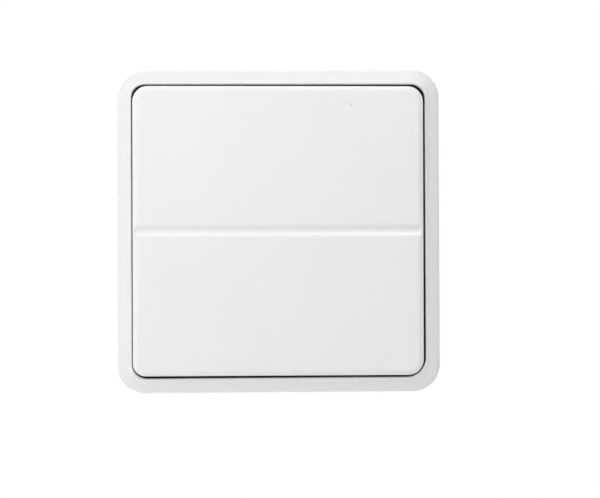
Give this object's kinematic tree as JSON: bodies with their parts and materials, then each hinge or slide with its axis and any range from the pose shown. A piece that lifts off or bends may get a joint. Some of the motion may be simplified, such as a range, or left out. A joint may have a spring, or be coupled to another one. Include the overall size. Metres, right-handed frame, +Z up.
{
  "type": "wireless remote wall switch",
  "caption": "Square surface-mounted wireless wall switch: a tilting rocker plate in a rounded frame, clipped to a wall plate, with a coin cell and radio inside.",
  "frame": {"origin": "middle of the wall plate's rear face, on the wall", "axes": "+X to the right seen from the front, +Y into the wall, +Z up; the rocker faces -Y"},
  "size_m": [0.075, 0.0226, 0.075],
  "materials": {
    "white_frame": "satin moulded",
    "white_rocker": "satin moulded",
    "carrier_black": "fine spark texture",
    "plate_white": "fine spark texture",
    "board_green": "solder mask",
    "radio_board_blue": "solder mask",
    "switch_black": "moulded",
    "plunger_brown": "moulded",
    "holder_black": "moulded",
    "screw_steel": "zinc plated",
    "sheet_steel": "tin plated",
    "cell_steel": "nickel plated",
    "spring_bronze": "bright rolled",
    "chip_black": "moulded",
    "chip_ceramic": "fired ceramic",
    "lamp_clear": "clear resin",
    "button_white": "moulded"
  },
  "bodies": {
    "housing": {"frame": "white_frame", "chassis": "carrier_black", "wall_plate": "plate_white", "circuit_board": "board_green", "board_screws": "screw_steel", "switch_terminals": "sheet_steel", "battery_holder": "holder_black", "coin_cell": "cell_steel", "battery_positive_clip": "sheet_steel", "battery_negative_contact": "spring_bronze", "radio_board": "radio_board_blue", "radio_shield": "sheet_steel", "antenna": "spring_bronze", "microcontroller": "chip_black", "crystal": "sheet_steel", "status_led": "lamp_clear", "setup_button_base": "switch_black", "chip_passives": "chip_ceramic", "upper_switch_base": "switch_black", "upper_switch_cover": "sheet_steel", "upper_switch_dome": "spring_bronze", "lower_switch_base": "switch_black", "lower_switch_cover": "sheet_steel", "lower_switch_dome": "spring_bronze"},
    "rocker": {"rocker": "white_rocker"},
    "upper_plunger": {"upper_switch_plunger": "plunger_brown"},
    "lower_plunger": {"lower_switch_plunger": "plunger_brown"},
    "setup_button": {"setup_button_cap": "button_white"}
  },
  "joints": [
    {"name": "rocker_tilt", "type": "hinge", "parent": "housing", "child": "rocker", "pos_m": [0, -0.01739, 0], "axis": [-1, 0, 0], "range_deg": [-1.6, 1.6], "stiffness_Nm_per_rad": 0.5},
    {"name": "upper_plunger_press", "type": "slide", "parent": "housing", "child": "upper_plunger", "axis": [0, 1, 0], "range_m": [-0.00026, 0.00026], "deforming": ["upper_switch_dome"]},
    {"name": "lower_plunger_press", "type": "slide", "parent": "housing", "child": "lower_plunger", "axis": [0, 1, 0], "range_m": [-0.00026, 0.00026], "deforming": ["lower_switch_dome"]},
    {"name": "setup_button_press", "type": "slide", "parent": "housing", "child": "setup_button", "axis": [0, 1, 0], "range_m": [0, 0.00025], "stiffness_N_per_m": 3000}
  ],
  "couplings": [
    {"joint": "upper_plunger_press", "follows": "rocker_tilt", "m_per_rad": 0.009},
    {"joint": "lower_plunger_press", "follows": "rocker_tilt", "m_per_rad": -0.009}
  ]
}
